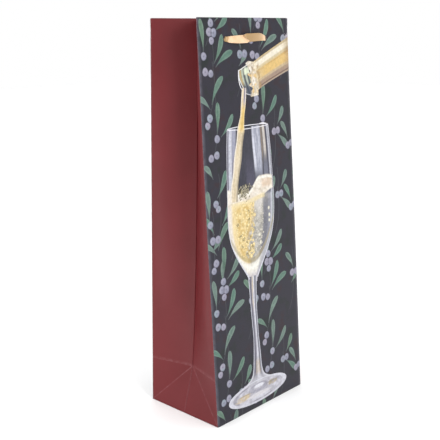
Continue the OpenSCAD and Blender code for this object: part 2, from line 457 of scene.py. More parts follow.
def leaf(base, turn, length, width, bend, seed):
    """A mistletoe leaf: a slim stalk that widens to three quarters of its length, then a round
    tip, on a midrib bent sideways by bend. Turn is degrees from upright, clockwise."""
    rows = 61 if base[1] + length > fold_at - 4 and base[1] < inside_turn + 4 else 19
    t, w = np.meshgrid(np.linspace(0, 1, rows), np.linspace(-1, 1, 9), indexing="ij")
    tip = np.sqrt(1 - np.clip((t - 0.72) / 0.2801, 0, 1) ** 2)
    half = 0.43 * width * (0.12 + 0.88 * smooth(t, 0.02, 0.74)) * tip
    along, aside = t * length, w * half + bend * length * t * (1 - t) * 2.4
    a = radians(turn)
    u = base[0] + along * np.sin(a) + aside * np.cos(a)
    s = base[1] + along * np.cos(a) - aside * np.sin(a)
    pick = np.random.RandomState(seed).rand(4)
    tone = over(plain("#6b8b7e", t), "#768e7c", pick[0] * np.ones_like(t))
    tone = over(tone, "#808f8b", 0.7 * (pick[3] > 0.6) * np.ones_like(t))
    tone = over(tone, "#557a6d", 0.6 * pick[1] * np.exp(-((w + 0.1) ** 2) / 0.15) * smooth(t, 0.2, 0.5))
    tone = over(tone, "#8ba398", 0.6 * smooth(abs(w), 0.4, 1.0) * smooth(t, 0.3, 0.6))
    tone = over(tone, "#8aa698", 0.7 * smooth(cloud(u, s, 2.6, 40 + seed % 7), 0.5, 0.9) * pick[2])
    tone = over(tone, "#66686f", 0.85 * (1 - smooth(t, 0.0, 0.36)))
    return u, s, tone, 2


def berry(at, radius, seed):
    """A round berry: pale lavender, lighter to its upper left, with a dark speck at its crown."""
    rows = 15 if abs(at[1] - fold_at) < 8 else 7
    r, a = np.meshgrid(np.linspace(0.02, 1, rows), np.linspace(0, 2 * pi, 25), indexing="ij")
    wobble = 1 + 0.03 * np.sin(3 * a + seed)
    u, s = at[0] + radius * 0.92 * r * wobble * np.cos(a), at[1] + radius * 0.96 * r * wobble * np.sin(a)
    pick = np.random.RandomState(seed).rand(2)
    tone = over(plain("#8e92a5", r), "#b3b4c5", 0.55 + 0.45 * r * np.cos(a - 2.3))
    tone = over(tone, "#b5aaba", 0.5 * pick[0] * np.ones_like(r))
    tone = over(tone, "#9db1b8", 0.6 * (pick[1] > 0.6) * smooth(cloud(u, s, 2.5, 70 + seed % 5), 0.4, 0.7))
    tone = over(tone, "#6b6a80", 0.5 * smooth(r, 0.78, 1.0))
    tone = over(tone, "#6c6a82", 0.6 * (1 - smooth(r, 0.06, 0.3)))
    return u, s, tone, 3


def stroke(us, ss, widths, tone, layer, rows=33):
    """A painted line: a smooth curve through the given points, widths wide, in colour tone."""
    knots, t = np.linspace(0, 1, len(us)), np.linspace(0, 1, rows)
    order = min(len(us) - 1, 3)
    if len(us) > 4:
        u, s = np.interp(t, knots, us), np.interp(t, knots, ss)
        for _ in range(2):
            u[1:-1], s[1:-1] = (u[:-2] + 2 * u[1:-1] + u[2:]) / 4, (s[:-2] + 2 * s[1:-1] + s[2:]) / 4
    else:
        u, s = (np.polyval(np.polyfit(knots, line, order), t) for line in (us, ss))
    du, ds = np.gradient(u), np.gradient(s)
    norm = np.hypot(du, ds)
    half = np.interp(t, np.linspace(0, 1, len(np.atleast_1d(widths))), np.atleast_1d(widths)) / 2
    w = np.array([-1, -0.35, 0.35, 1])
    return (
        u[:, None] + w * (half * ds / norm)[:, None], s[:, None] - w * (half * du / norm)[:, None],
        colour(tone), layer,
    )


# A sprig is a fan of leaves (across, up, turn, length, width, bend) and berries (across, up,
# radius) about its fork. The repeat steps up by step_up from column to column.
sprigs = {
    "fan": (
        [(2, 6, 26, 27, 6.8, 0.12), (4, 3, 60, 26, 7.0, -0.10), (-10, 16, -5, 27, 6.4, 0.05),
         (5, 33, 54, 20, 6.6, 0.08), (0, 37, 6, 22, 6.2, -0.10)],
        [(-9.0, -0.4, 3.8), (-2.4, -2.0, 3.4), (-2, 32, 3.9), (3.4, 31.4, 4.0), (0.4, 25, 3.4),
         (-10, 12.4, 3.6)],
    ),
    "spray": (
        [(-3, 12, 33, 28, 7.0, -0.12), (-5, 8, -50, 18, 5.6, 0.10), (2, -13, 4, 27, 6.4, 0.04),
         (6, -16, 42, 25, 6.4, 0.12)],
        [(-6.2, 1.0, 3.8), (-9.4, -5.2, 3.4), (1.4, -17.2, 3.7)],
    ),
    "pair": (
        [(-2, -10, 40, 17, 6.6, 0.1), (2, 5, -34, 20, 6.2, 0.1)],
        [(0, 0, 3.9), (6.5, 0.2, 3.8)],
    ),
    "crossed": (
        [(5, 6, 30, 19, 6.4, 0.1), (5, -3, 132, 19, 6.6, -0.1), (20, -8, -30, 19, 6.0, 0.1)],
        [(0, 0, 3.7), (5.6, 0.6, 3.6), (20, -15, 3.7), (25, -13, 3.4)],
    ),
    "hanging": (
        [(-2, 5, 28, 26, 6.8, 0.12), (-13, -13, -2, 26, 6.2, 0.04), (2, -20, 30, 25, 6.6, 0.1),
         (-6, 22, -38, 16, 5.8, 0.1)],
        [(-4, 0, 3.6), (-1.5, -4.6, 3.4), (-12, -17, 3.6), (-7, 40, 3.6), (0, 42, 3.7)],
    ),
}
repeat = [
    ("fan", 16, 316), ("spray", 16, 276), ("hanging", 16, 203), ("pair", 52, 329),
    ("crossed", 33, 245.5), ("crossed", 34, 186), ("spray", 15, 150), ("pair", 6, 171.5),
]
column, step_up, repeat_up = 62.0, 12.5, 222.5
twigs, green, berries = [], [], []
seed = 0
for col in (-1, 0, 1, 2):
    for lap in (-1, 0, 1):
        for kind, u0, s0 in repeat:
            at_u, at_s = u0 + col * column, s0 + col * step_up + lap * repeat_up
            if not (-28 < at_u < wide + 28 and -40 < at_s < inside_turn + turned_in):
                continue
            leaves, fruits = sprigs[kind]
            for du, ds, turn, length, width, bend in leaves:
                seed += 1
                green.append(leaf((at_u + du, at_s + ds), turn, length, width, bend, seed))
            for du, ds, radius in fruits:
                seed += 1
                berries.append(berry((at_u + du, at_s + ds), radius, seed))
            twigs.append(stroke(
                [at_u - 6, at_u + 1, at_u], [at_s - 36, at_s - 16, at_s + 8], 0.7, "#54565b", 1
            ))
            twigs.append(stroke([at_u, at_u + 2, at_u + 1], [at_s, at_s + 12, at_s + 26], 0.6, "#54565b", 1))


def on_sheet(patch):
    """Whether any of a printed shape falls on the sheet."""
    u, s = patch[0], patch[1]
    return u.max() > 0.3 and u.min() < wide - 0.3 and s.max() > 0.3 and s.min() < inside_turn + 28


print_ink("mistletoe_leaves", [p for p in twigs + green if on_sheet(p)], printing_ink)
print_ink("mistletoe_berries", [p for p in berries if on_sheet(p)], printing_ink)

# ---------------------------------------------------------------------------------------------
# The printed picture: a flute of sparkling wine.
# Painted over the sprigs in the same print. The glass is shaded over its whole bowl, stem and
# foot, and its bubbles, outlines and highlights are laid on top as strokes and dots.


def band(x, centre, half, soft):
    """1 within half of centre, falling to 0 over soft beyond it."""
    return 1 - smooth(abs(x - centre), half, half + soft)


def between(x, low, high, soft):
    """1 from low to high, falling to 0 over soft outside them."""
    return smooth(x, low - soft, low) * (1 - smooth(x, high, high + soft))


def flute_half(s):
    """Half width of the bowl at height s: a rounded point that swells to the belly, then closes
    in a little to the rim."""
    heights = [121, 126, 129, 132, 138, 144, 151, 162, 173, 184, 199, 214, 229, 249, 266]
    halves = [4.9, 5.4, 6.6, 8.6, 13.0, 17.2, 21.6, 27.6, 30.8, 32.0, 32.2, 31.7, 31.0, 29.8, 28.0]
    return np.interp(s, heights, halves)


def flute_axis(s):
    """Middle of the glass at height s: it stands a touch out of plumb."""
    return 56.2 + 2.0 * smooth(s, 150, 205)


s, w = np.meshgrid(np.linspace(123, 265.6, 238), np.linspace(-1, 1, 105), indexing="ij")
u = flute_axis(s) + flute_half(s) * w
mottle, fine = cloud(u, s, 3.2, 11), cloud(u, s, 1.1, 23, 2)
streak = cloud(u * 1.6, s * 0.16, 1.5, 31)
# The empty top: dark glass with upright highlights, and a broad silver reflection.
tone = over(plain("#45454d", u), "#575664", 0.5 * smooth(streak, 0.5, 0.8))
tone = coats(tone, [
    ("#5d5b6c", 0.7 * between(w, -0.1, 0.12, 0.15) * (1 - smooth(s, 215, 250))),
    ("#7d7b88", 0.7 * between(w, -0.97, -0.66, 0.04)),
    ("#d2d3de", between(w, -0.90, -0.80, 0.045) * (0.65 + 0.35 * fine) * smooth(s, 203, 214)),
    ("#a2a3b3", 0.85 * between(w, -0.75, -0.62, 0.05) * smooth(s, 222, 246)),
    ("#99929f", 0.6 * between(w, -0.74, -0.62, 0.05) * (1 - smooth(s, 226, 246))),
])
inner = 0.13 + 0.05 * (1 - smooth(s, 224, 262))
silver = smooth(w, inner, inner + 0.08) * (1 - smooth(w, 0.52, 0.60)) * smooth(s, 212, 230)
tone = coats(tone, [
    ("#a9acbb", silver * (0.7 + 0.3 * streak)),
    ("#bbbcc8", 0.8 * silver * smooth(streak, 0.35, 0.6) * smooth(s, 222, 240)),
    ("#d4d5e1", between(w, inner + 0.05, inner + 0.09, 0.05)
     * smooth(s, 222, 234) * (1 - 0.7 * smooth(s, 250, 262))),
    ("#8f8377", 0.85 * between(w, 0.585, 0.63, 0.03) * smooth(s, 226, 246)),
    ("#cfc7c0", 0.9 * between(w, 0.69, 0.77, 0.04) * smooth(s, 228, 246)),
    ("#7c7e8c", 0.8 * between(w, 0.64, 0.80, 0.04) * (1 - smooth(s, 226, 244))),
    ("#5a5866", 0.7 * between(w, 0.82, 0.85, 0.02)),
    ("#c3c4ce", between(w, 0.89, 0.95, 0.03) * (0.65 + 0.35 * fine)),
])
# The wine: gold to the left, silver-grey to the right, dark along the far wall, and under it the
# thick pale base of the bowl.
golden = over(plain("#d3b87d", u), "#e6d19e", smooth(mottle, 0.4, 0.75))
golden = over(golden, "#bb9c5f", 0.6 * smooth(cloud(u, s, 4.0, 57), 0.55, 0.8))
silvery = over(plain("#a5a29c", u), "#c9c5be", smooth(mottle, 0.4, 0.75))
silvery = over(silvery, "#807e7c", 0.6 * smooth(cloud(u, s, 4.0, 63), 0.55, 0.8))
to_grey = smooth(w + 0.12 * (mottle - 0.5) + 0.28 * (1 - smooth(s, 162, 186)), -0.08, 0.24)
body = golden + (silvery - golden) * to_grey[..., None]
body = coats(body, [
    ("#d8d3cd", 0.85 * smooth(w, 0.05, 0.25) * (1 - smooth(w, 0.42, 0.6)) * smooth(s, 174, 198)),
    ("#73747f", between(w, 0.56, 0.80, 0.12) * (0.75 + 0.25 * fine) * (1 - 0.6 * smooth(s, 190, 204))),
    ("#9a9aa4", 0.6 * between(w, 0.76, 0.86, 0.06)),
    ("#dfd9d2", between(w, -0.99, -0.86, 0.10) * (0.85 + 0.15 * fine)),
    ("#e9d7ac", 0.6 * between(w, -0.80, -0.68, 0.08)),
    ("#b9bbc4", between(w, 0.87, 0.915, 0.04)),
    ("#818f8c", 0.8 * between(w, 0.94, 0.985, 0.02)),
])
sole = 141.5 + 0.032 * (u - 55) ** 2
body = coats(body, [
    ("#a79a78", 0.6 * band(s, sole + 2.5, 1.0, 2.5)),
    ("#e6e3da", (1 - smooth(s, sole - 1.6, sole + 1.2)) * (0.8 + 0.3 * fine) * between(w, -0.9, 0.62, 0.25)),
    ("#b2b2b9", 0.7 * (1 - smooth(s, sole - 1.6, sole + 1.2)) * between(w, 0.66, 0.9, 0.12)),
    ("#f0eee6", 0.8 * band(s, sole - 4.5, 0.7, 1.2) * between(w, -0.6, 0.5, 0.1)),
    ("#b9b2bc", 0.85 * (1 - smooth(s, 129, 136)) * (0.6 + 0.4 * fine)),
])
tone = tone + (body - tone) * (1 - smooth(s, 201, 205))[..., None]
# The foam: a cream crest that climbs the right wall, and a bubbly hollow where the stream lands.
crest = 207 + 12.5 * smooth(u, 54, 71) - 2.0 * smooth(u, 80, 92) + 5 * (1 - smooth(u, 29, 36))
under = 198.5 + 9 * smooth(u, 60, 92)
froth = over(plain("#ddd3c5", u), "#eae3d8", smooth(mottle, 0.35, 0.7))
froth = coats(froth, [
    ("#c2b5a1", 0.6 * smooth(cloud(u * 0.5, s + 0.18 * u, 2.6, 83), 0.55, 0.8)),
    ("#cfa985", 0.45 * band(u, 80, 4, 5) * band(s, 213, 2, 4)),
    ("#ebe8df", 0.9 * band(s, crest - 1.2, 0.5, 1.2)),
])
tone = tone + (froth - tone) * (between(s, under, crest, 1.4) * between(w, -0.98, 0.95, 0.03))[..., None]
waterline = band(s, 198 + 4 * smooth(u, 48, 80), 1.0, 2.2)
tone = over(tone, "#e4d3a6", 0.8 * waterline * between(w, -0.75, 0.5, 0.15))
hollow = band(np.hypot((u - 48) / 11.5, (s - 209) / 5.8 - 0.55 * (u - 48) / 11.5), 0, 0.72, 0.35)
tone = over(tone, "#504c3f", hollow * smooth(cloud(u, s, 2.4, 91), 0.28, 0.55) * (1 - 0.6 * smooth(u, 48, 60)))
tone = over(tone, "#bdb394", 0.8 * hollow * smooth(cloud(u, s, 1.7, 97, 2), 0.55, 0.75))
glass = [(u, s, tone, 4)]


def dot(at, radius, middle, rim, layer=5, squash=1.0):
    """A bubble: a small disc that shades from middle to rim."""
    r, a = np.meshgrid(np.linspace(0.02, 1, 4), np.linspace(0, 2 * pi, 15), indexing="ij")
    tone = over(plain(middle, r), rim, r**2)
    return at[0] + radius * r * np.cos(a), at[1] + radius * squash * r * np.sin(a), tone, layer


random = np.random.RandomState(17)
for _ in range(120):
    high = random.uniform(148, 197)
    aside = random.uniform(-0.70, 0.12)
    at = (flute_axis(high) + flute_half(high) * aside, high)
    glass.append(dot(at, random.uniform(0.7, 1.9), "#efdfae", "#d8bd80", squash=random.uniform(0.9, 1.2)))
for _ in range(55):
    high = random.uniform(152, 196)
    aside = random.uniform(0.14, 0.58)
    at = (flute_axis(high) + flute_half(high) * aside, high)
    glass.append(dot(at, random.uniform(0.6, 1.5), "#d3cfc6", "#a9a59a", squash=random.uniform(0.9, 1.3)))
big_bubbles = [
    ((82, 188.5), 1.4), ((82.5, 182), 1.5), ((82, 177), 1.3), ((67, 166), 1.9), ((68.5, 158.5), 1.7),
    ((61, 153), 1.6), ((53, 156), 1.8), ((49, 151.5), 1.9), ((50.5, 148.5), 1.4),
]
for at, radius in big_bubbles:
    glass.append(dot(at, radius, "#e9e5d6", "#bfbaa9", squash=1.3))
for _ in range(46):
    at = (random.normal(48, 4.6), random.normal(208, 3.0))
    glass.append(dot(at, random.uniform(0.5, 1.2), "#6b6557", "#cfc7ad"))

# Outline of the bowl, the rim's flat oval, and highlights that run down the glass.
heights = np.linspace(127, 265, 24)
for sign, thick in [(-1, 0.8), (1, 0.9)]:
    glass.append(stroke(
        flute_axis(heights) + sign * (flute_half(heights) - 0.2), heights,
        [1.5, 1.0, 0.6, 0.5, thick], "#cfcfd9", 6, 90
    ))
turns = np.linspace(0, 2 * pi, 49)
glass.append(stroke(58.3 + 27.8 * np.cos(turns), 265.5 + 1.5 * np.sin(turns), 0.65, "#e9e8ef", 7, 150))
glass.append(stroke([73, 79, 86], [266.8, 267.2, 265.6], [0.4, 1.0, 0.5], "#f0eff4", 7))

# The stem, striped lengthwise, and how it swells into the foot.
s, w = np.meshgrid(np.linspace(24, 129, 120), np.linspace(-1, 1, 27), indexing="ij")
half = np.interp(
    s, [24, 27, 30, 34, 40, 50, 70, 100, 116, 129], [24, 15.5, 10.2, 7.4, 6.0, 5.2, 3.8, 4.3, 5.0, 5.8]
)
u = 57.0 - 2.4 * smooth(s, 50, 112) + half * w
run = cloud(u * 0.7, s * 0.11, 1.2, 103)
tone = over(plain("#8d8c97", u), "#605e6a", between(w, -0.66, -0.46, 0.1) * (0.5 + 0.5 * run))
tone = coats(tone, [
    ("#dcdce5", between(w, 0.0, 0.3, 0.14) * (0.6 + 0.4 * run)),
    ("#d0c0a8", 0.8 * between(w, -0.24, 0.05, 0.1) * smooth(run, 0.3, 0.6) * smooth(s, 92, 108)),
    ("#6f737c", 0.7 * between(w, 0.50, 0.70, 0.08)),
    ("#c4c5cf", smooth(abs(w), 0.76, 0.90)),
    ("#c9b28c", 0.4 * band(s, 40, 4, 6) * band(w, 0.1, 0.35, 0.25)),
    ("#c4c3cb", (1 - smooth(s, 27, 36)) * (0.6 + 0.3 * run)),
    ("#d0cfd7", 0.8 * (1 - smooth(s, 30, 40)) * smooth(abs(w), 0.6, 0.9)),
])
glass.append((u, s, tone, 5))

# The foot: a wide flat oval with gold glints on both sides and a pale middle.
r, a = np.meshgrid(np.linspace(0.0, 1, 36), np.linspace(0, 2 * pi, 121), indexing="ij")
u, s = 57.2 + 41.4 * r * np.cos(a), 16.0 + 10.5 * r * np.sin(a)
rough = cloud(u, s * 1.4, 4.5, 131)
tone = over(plain("#b3b1bb", u), "#cfced8", smooth(rough, 0.35, 0.65))
tone = over(tone, "#7c7984", 0.6 * between(r, 0.78, 0.86, 0.04) * smooth(cloud(u, s, 9, 151), 0.35, 0.6))
tone = over(tone, "#d3d3dd", between(r, 0.90, 0.99, 0.04) * (0.6 + 0.5 * rough))
left_glint = band(np.hypot((u - 36) / 12, (s - 15 - 0.06 * (u - 36)) / 3.0), 0, 0.75, 0.4)
right_glint = band(np.hypot((u - 77) / 9, (s - 18.5) / 2.8), 0, 0.7, 0.4)
tone = coats(tone, [
    ("#cfbb98", 0.85 * left_glint * smooth(cloud(u, s, 2.6, 163), 0.25, 0.6)),
    ("#8d8475", 0.5 * left_glint * band(s, 17.6, 0.4, 1.2)),
    ("#b3a486", 0.8 * right_glint * smooth(cloud(u, s, 2.2, 171), 0.3, 0.6)),
    ("#7b766f", 0.5 * right_glint * band(s, 19.5, 0.4, 1.2)),
    ("#8f8d99", 0.6 * band(np.hypot((u - 57) / 15, (s - 19.5) / 4.6), 0.66, 0.18, 0.18)),
    ("#e2e2ea", 0.9 * band(np.hypot((u - 58) / 9, (s - 21) / 2.2), 0, 0.6, 0.4)),
    ("#dfdce0", 0.8 * band(np.hypot((u - 58) / 22, (s - 12.6) / 2.4), 0, 0.6, 0.4)),
])
glass.append((u, s, tone, 4))
glass.append(stroke(57.2 + 41.6 * np.cos(turns), 16.0 + 10.7 * np.sin(turns), 0.6, "#d8d8e1", 6, 150))
print_ink("flute", glass, printing_ink, 0.88)

# ---------------------------------------------------------------------------------------------
# The printed picture: the bottle's neck and the pouring stream.
# The neck comes in from the right edge in plain gold foil with no mark on it, and the wine falls
# from its lip into the flute.

pour = []
t, w = np.meshgrid(np.linspace(0, 1, 110), np.linspace(0, 1, 60), indexing="ij")
low_u, low_s = 73 + 49.2 * t, 296 + 16.8 * t**0.85
top_u, top_s = 68 + 54.2 * t, 321 + 22 * t**0.95
u, s = low_u + (top_u - low_u) * w, low_s + (top_s - low_s) * w
along = cloud(w * 14, t * 3.4, 1.0, 201)
crinkle = cloud(u, s, 3.0, 211)
tone = over(plain("#cfb585", u), "#dfcca2", smooth(along, 0.35, 0.7))
tone = coats(tone, [
    ("#d9b877", 0.8 * between(w, 0.36, 0.60, 0.1) * between(t, 0.35, 0.85, 0.2)),
    ("#bd9a63", 0.75 * between(w, 0.585, 0.64, 0.02) * smooth(along, 0.2, 0.5)),
    ("#cdbf9f", between(w, 0.66, 0.76, 0.04) * (0.6 + 0.4 * crinkle)),
    ("#e9e2d2", between(w, 0.76, 0.90, 0.05) * (0.75 + 0.25 * along) * (1 - 0.5 * smooth(t, 0.75, 1))),
    ("#b9ad94", 0.8 * between(w, 0.93, 0.97, 0.02)),
    ("#937f78", between(w, 0.08, 0.21, 0.04) * (0.6 + 0.4 * along)),
    ("#6f5a58", 0.8 * between(w, 0.05, 0.085, 0.02)),
    ("#bda98e", 0.9 * between(w, 0.24, 0.29, 0.03)),
    ("#9a8c87", 0.9 * (1 - smooth(w, 0.02, 0.05))),
    ("#b09068", 0.6 * smooth(t, 0.80, 0.97) * between(w, 0.3, 0.7, 0.1)),
    ("#7d6650", 0.45 * smooth(t, 0.80, 0.98) * between(w, 0.62, 0.98, 0.08) * (0.5 + 0.5 * crinkle)),
    ("#e4d8be", (1 - smooth(t, 0.03, 0.12)) * (0.5 + 0.5 * crinkle)),
    ("#a58a66", 0.75 * between(t, 0.09, 0.13, 0.03) * smooth(crinkle, 0.35, 0.6)),
])
pour.append((u, s, tone, 4))

# The torn edge of the foil, creased and pale, round the neck.
t, w = np.meshgrid(np.linspace(0, 1, 26), np.linspace(0, 1, 60), indexing="ij")
ragged = 1.6 * np.sin(w * 23) + 1.1 * np.sin(w * 41 + 1)
edge_u = 66 + 5.5 * (1 - w) + 1.5 * np.sin(pi * w) - (1 - t) * (6.0 + ragged)
edge_s = 292.5 + 29.5 * w + (1 - t) * (w - 0.5) * 2
u, s = edge_u + 3.5 * t, edge_s
crinkle = cloud(u, s, 2.2, 223)
tone = over(plain("#cfc3ad", u), "#e9e2d6", smooth(crinkle, 0.45, 0.7))
tone = coats(tone, [
    ("#a3937f", 0.85 * smooth(cloud(u, s, 1.8, 229), 0.58, 0.72)),
    ("#e0b973", 0.7 * smooth(cloud(u, s, 3.4, 233), 0.55, 0.7) * between(w, 0.15, 0.75, 0.1)),
    ("#5d5560", 0.6 * (1 - smooth(t, 0.0, 0.10))),
])
pour.append((u, s, tone, 6))

# The glass lip: a short grey-green cylinder with dark and pale rings.
t, w = np.meshgrid(np.linspace(0, 1, 44), np.linspace(0, 1, 48), indexing="ij")
left_u, left_s = 55.5 - 7.0 * smooth(w, 0, 0.75), 295 + 20.5 * w
right_u, right_s = 69 - 7.0 * w, 291.5 + 28.0 * w
u, s = left_u + (right_u - left_u) * t, left_s + (right_s - left_s) * t
rings = np.sin(t * 19 + 1.5 * cloud(u, s, 8, 241))
tone = over(plain("#83887f", u), "#b9c1b0", smooth(rings, 0.1, 0.9))
tone = coats(tone, [
    ("#4a4d58", 0.9 * smooth(-rings, 0.45, 0.9)),
    ("#dcdbdf", between(t, 0.0, 0.05, 0.03)),
    ("#cdb27c", 0.75 * between(t, 0.14, 0.26, 0.04) * between(w, 0.35, 0.9, 0.1)),
    ("#e7edd2", 0.8 * between(w, 0.78, 0.9, 0.08) * smooth(t, 0.45, 0.6)),
    ("#454a5c", 0.85 * (1 - smooth(w, 0.25, 0.55)) * between(t, 0.2, 0.95, 0.15)),
    ("#eceaf0", 0.8 * (1 - smooth(w, 0.0, 0.05))),
])
pour.append((u, s, tone, 5))
pour.append(stroke([48.9, 48.8, 51.0, 55.8], [315, 307, 300.5, 295], [0.6, 0.9, 0.6], "#efedf0", 7))
pour.append(stroke([49.0, 53, 58, 63], [315, 316.4, 318.4, 320.0], [0.6, 0.8, 0.6], "#e8e4e0", 7))

# The stream thins as it falls, then widens where it meets the wine.
t, w = np.meshgrid(np.linspace(0, 1, 150), np.linspace(-1, 1, 19), indexing="ij")
line_s = 300 - 99 * t
falls = [201, 208, 216, 230, 245, 254, 262, 267, 276, 283, 298, 300]
line_u = np.interp(line_s, falls, [35.0, 35.6, 36.6, 40.4, 43.6, 46.0, 48.0, 48.6, 51.1, 52.7, 55.1, 55.4])
half = np.interp(line_s, falls, [4.6, 4.3, 4.4, 4.8, 4.9, 4.6, 4.6, 4.0, 2.9, 3.1, 3.0, 2.4])
half = half * (1 + 0.06 * np.sin(line_s / 4.1))
u, s = line_u + half * w, line_s
flow = cloud(w * 3.2, t * 11, 1.0, 251)
inside = smooth(-line_s, -266, -258)
tone = over(plain("#d9ba78", u), "#e9d39a", smooth(flow, 0.45, 0.7))
tone = coats(tone, [
    ("#b08a4e", 0.6 * smooth(cloud(w * 4, t * 8, 1.0, 257), 0.6, 0.75)),
    ("#dacfba", 0.85 * inside),
    ("#c3b091", 0.7 * inside * smooth(flow, 0.45, 0.65)),
    ("#8a8173", 0.75 * inside * smooth(w, 0.35, 0.85)),
    ("#c9c5d2", 0.85 * (1 - smooth(t, 0.10, 0.20)) * (0.4 + 0.6 * smooth(w, -0.2, 0.2))),
    ("#5d596b", 0.8 * (1 - smooth(t, 0.08, 0.20)) * band(w, 0.3, 0.1, 0.25)),
    ("#e9e2d8", smooth(-w, 0.62, 0.8) * 0.8),
    ("#e0d2b2", smooth(w, 0.78, 0.92) * 0.7 * (1 - inside)),
])
pour.append((u, s, tone, 8))
for start, stop, tone_hex in [
    ((112, 341), (117, 346), "#8d8794"), ((115, 341), (121.8, 347), "#a59ca3"),
    ((118, 342.5), (121.8, 344.5), "#c9bfb6"),
]:
    middle = ((start[0] + stop[0]) / 2, (start[1] + stop[1]) / 2 + 0.6)
    pour.append(stroke(
        [start[0], middle[0], stop[0]], [start[1], middle[1], stop[1]], 0.5, tone_hex, 5
    ))
print_ink("bottle_and_stream", pour, printing_ink, 0.90)

# ---------------------------------------------------------------------------------------------
# Side gussets.
# The same sheet as the walls, printed plain red here, folded inwards down its middle. At the foot
# two diagonal creases turn its lowest part into a triangle; at the mouth it is turned in.

gusset_half = 44.0
apex_z = 43.0
gusset_fold_r = 0.45
gusset_fold = tall - gusset_fold_r
gusset_bow = 12.5


def gusset_point(hand, which, a, s):
    """Point on half a side gusset, in mm: a across the paper from the wall's edge to the middle
    crease, s up it. Above the apex the paper runs straight from the wall's edge to the crease,
    bowed out by gusset_bow t (1 - t)^2, t from 0 to 1 across; below it the diagonal s = a parts it
    from the base triangle. Past gusset_fold it turns over and runs down inside, further in along
    the inward normal."""
    a, s = np.broadcast_arrays(np.asarray(a, float), np.asarray(s, float))
    sign = -1 if hand == "left" else 1
    turn = np.clip((s - gusset_fold) / gusset_fold_r, 0, pi)
    q = np.clip(s, 0, gusset_fold) + gusset_fold_r * np.sin(turn)
    q = q - np.maximum(s - gusset_fold - pi * gusset_fold_r, 0)
    inward = gusset_fold_r * (1 - np.cos(turn))
    edge_u = {"front": 0.0 if sign < 0 else wide, "back": wide if sign < 0 else 0.0}
    other = "back" if which == "front" else "front"

    def ends(height):
        """The wall's edge and the middle crease at a height, the crease half way between the walls."""
        edge = wall_point(which, edge_u[which], height, p_extra=0.12)
        far = wall_point(other, edge_u[other], height, p_extra=0.12)
        depth = abs(edge[..., 1] - far[..., 1]) / 2
        share = 0.885 + 0.035 * smooth(height, 250, 340)
        reach = share * np.sqrt(gusset_half**2 - np.minimum(depth, gusset_half - 0.5) ** 2)
        rise = apex_z + (height - gusset_half) * (tall - 0.6 - apex_z) / (tall - gusset_half)
        crease = np.stack([sign * (wide / 2 - reach), (edge[..., 1] + far[..., 1]) / 2, rise], -1)
        return edge, crease

    edge, crease = ends(q)
    foot, _ = ends(np.zeros_like(q))
    _, apex = ends(np.full_like(q, gusset_half))
    middle = np.stack([foot[..., 0], np.zeros_like(q), foot[..., 2]], -1)
    diagonal = foot + (apex - foot) * (q / gusset_half)[..., None]
    share = (a / gusset_half)[..., None]
    upper = edge + (crease - edge) * share
    lower = edge + (diagonal - edge) * np.clip(a / np.maximum(q, 1e-6), 0, 1)[..., None]
    base = foot + (middle - foot) * np.maximum((a - q) / gusset_half, 0)[..., None]
    base = base + (apex - foot) * (q / gusset_half)[..., None]
    point = np.where((q >= gusset_half)[..., None], upper, np.where((a <= q)[..., None], lower, base))
    run = crease - edge
    outward = np.stack([run[..., 1], -run[..., 0], np.zeros_like(q)], -1)
    outward = outward * (sign * np.sign(outward[..., :1]))
    outward = outward / np.linalg.norm(outward, axis=-1, keepdims=True)
    t = a / gusset_half
    bow = gusset_bow * t * (1 - t) ** 2 * smooth(q, gusset_half, 110) * (1 - 0.75 * smooth(q, 290, 350))
    return point + outward * (bow - inward)[..., None]


def gusset_flat(us, ss):
    """Points and faces of the flat pattern: a grid whose cells on the diagonal s = a below the
    apex are cut along it, so that the crease is sharp."""
    aa, qq = np.meshgrid(us, ss)
    i, j = np.meshgrid(np.arange(len(ss) - 1), np.arange(len(us) - 1), indexing="ij")
    start, columns = i * len(us) + j, len(us)
    on_diagonal = (abs(ss[i] - us[j]) < 1e-6) & (ss[i] < gusset_half - 1e-6)
    k = start[~on_diagonal].ravel()
    faces = np.stack([k, k + 1, k + columns + 1, k + columns], -1).tolist()
    k = start[on_diagonal].ravel()
    faces += np.stack([k, k + 1, k + columns + 1], -1).tolist()
    faces += np.stack([k, k + columns + 1, k + columns], -1).tolist()
    return aa.ravel(), qq.ravel(), faces


# Red-printed art paper under matt film: even deep red, barely mottled, with the creases of the
# flat-packed bag rubbed pale: the two diagonals, the level crease and the short upright one.
red_paper, tree, shader = new_material("red printed art paper, matt film", 0.48, Specular_IOR_Level=0.3)
place = film_finish(tree, shader, 0.9, 0.12)
mottle_node = node(tree, "ShaderNodeTexNoise", Vector=place, Scale=24.0, Detail=4.0)
reds = ramp(tree, mottle_node.outputs["Fac"], (0.3, "#62171b"), (0.7, "#691b20"))
creased = node(tree, "ShaderNodeAttribute", {"attribute_name": "crease"})
rub = node(tree, "ShaderNodeTexNoise", Vector=place, Scale=260.0, Detail=4.0)
rubbed = node(
    tree, "ShaderNodeMapRange", Value=rub.outputs["Fac"], From_Min=0.38, From_Max=0.62, To_Min=0.2, To_Max=1.0
)
pale = node(tree, "ShaderNodeMath", {"operation": "MULTIPLY"}, _0=creased.outputs["Fac"], _1=rubbed.outputs[0])
red_worn = node(
    tree, "ShaderNodeMix", {"data_type": "RGBA"},
    _0=pale.outputs[0], _6=reds.outputs["Color"], _7=rgba("#a8787c"),
)
tree.links.new(red_worn.outputs[2], shader.inputs["Base Color"])

